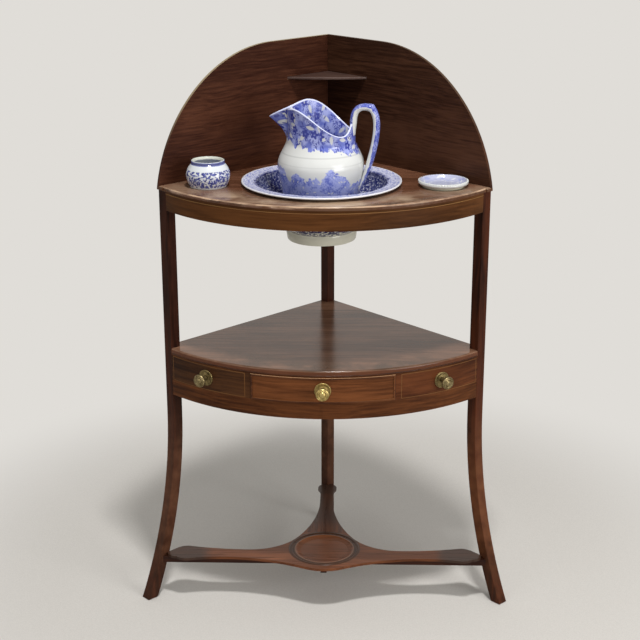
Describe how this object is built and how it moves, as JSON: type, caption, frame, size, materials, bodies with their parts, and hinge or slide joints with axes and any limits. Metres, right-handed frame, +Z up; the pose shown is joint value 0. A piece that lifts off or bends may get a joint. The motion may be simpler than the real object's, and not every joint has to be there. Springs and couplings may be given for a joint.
{
  "type": "corner washstand",
  "caption": "Three-tier mahogany corner washstand with splash panels, a drawer between sham drawers, sabre legs, a dished stretcher, and a blue and white basin, jug, brush pot and soap dish",
  "frame": {"origin": "middle of the footprint box, on the floor", "axes": "+X to the right seen from the front, +Y to the wall corner at the back, +Z up"},
  "size_m": [0.757, 0.4864, 1.1125],
  "materials": {
    "leg_mahogany": "satin",
    "shelf_mahogany": "gloss",
    "panel_mahogany": "satin",
    "frieze_mahogany": "satin",
    "bead_mahogany": "satin",
    "boxwood": "satin",
    "inner_wood": "matte",
    "aged_brass": "satin",
    "dark_steel": "matte",
    "blue_white_glaze": "gloss",
    "white_glaze": "gloss"
  },
  "bodies": {
    "stand": {"back_leg": "leg_mahogany", "left_leg": "leg_mahogany", "right_leg": "leg_mahogany", "top_board": "shelf_mahogany", "top_frieze": "frieze_mahogany", "top_stringing": "boxwood", "top_rail_left": "leg_mahogany", "top_rail_right": "leg_mahogany", "glue_block_left": "inner_wood", "glue_block_right": "inner_wood", "splash_left": "panel_mahogany", "splash_right": "panel_mahogany", "corner_shelf": "shelf_mahogany", "middle_shelf": "shelf_mahogany", "upper_rail": "frieze_mahogany", "lower_rail": "frieze_mahogany", "sham_left": "frieze_mahogany", "sham_right": "frieze_mahogany", "sham_lines_left": "boxwood", "sham_lines_right": "boxwood", "case_side_left": "leg_mahogany", "case_side_right": "leg_mahogany", "runner_left": "inner_wood", "runner_right": "inner_wood", "guide_left": "inner_wood", "guide_right": "inner_wood", "kicker_left": "inner_wood", "kicker_right": "inner_wood", "stop_left": "inner_wood", "stop_right": "inner_wood", "rose_left": "aged_brass", "rose_right": "aged_brass", "knob_left": "aged_brass", "knob_right": "aged_brass", "nut_left": "dark_steel", "nut_right": "dark_steel", "stretcher_plate": "shelf_mahogany", "stretcher_dish": "shelf_mahogany", "stretcher_cross": "leg_mahogany", "stretcher_spine": "leg_mahogany"},
    "drawer": {"drawer_front": "frieze_mahogany", "bead_top": "bead_mahogany", "bead_bottom": "bead_mahogany", "bead_left": "bead_mahogany", "bead_right": "bead_mahogany", "drawer_side_left": "inner_wood", "drawer_side_right": "inner_wood", "drawer_back": "inner_wood", "drawer_bottom": "inner_wood", "drawer_rose": "aged_brass", "drawer_knob": "aged_brass", "drawer_nut": "dark_steel"},
    "basin": {"basin": "blue_white_glaze"},
    "jug": {"jug": "blue_white_glaze"},
    "brush_pot": {"brush_pot": "blue_white_glaze"},
    "soap_dish": {"soap_dish": "white_glaze"}
  },
  "joints": [
    {"name": "drawer_slide", "type": "slide", "parent": "stand", "child": "drawer", "axis": [0, -1, 0], "range_m": [0, 0.2]},
    {"name": "basin_lift", "type": "slide", "parent": "stand", "child": "basin", "axis": [0, 0, 1], "range_m": [0, 0.36]},
    {"name": "jug_lift", "type": "slide", "parent": "basin", "child": "jug", "axis": [0, 0, 1], "range_m": [0, 0.16]},
    {"name": "pot_lift", "type": "slide", "parent": "stand", "child": "brush_pot", "axis": [0, 0, 1], "range_m": [0, 0.26]},
    {"name": "soap_lift", "type": "slide", "parent": "stand", "child": "soap_dish", "axis": [0, 0, 1], "range_m": [0, 0.26]}
  ]
}
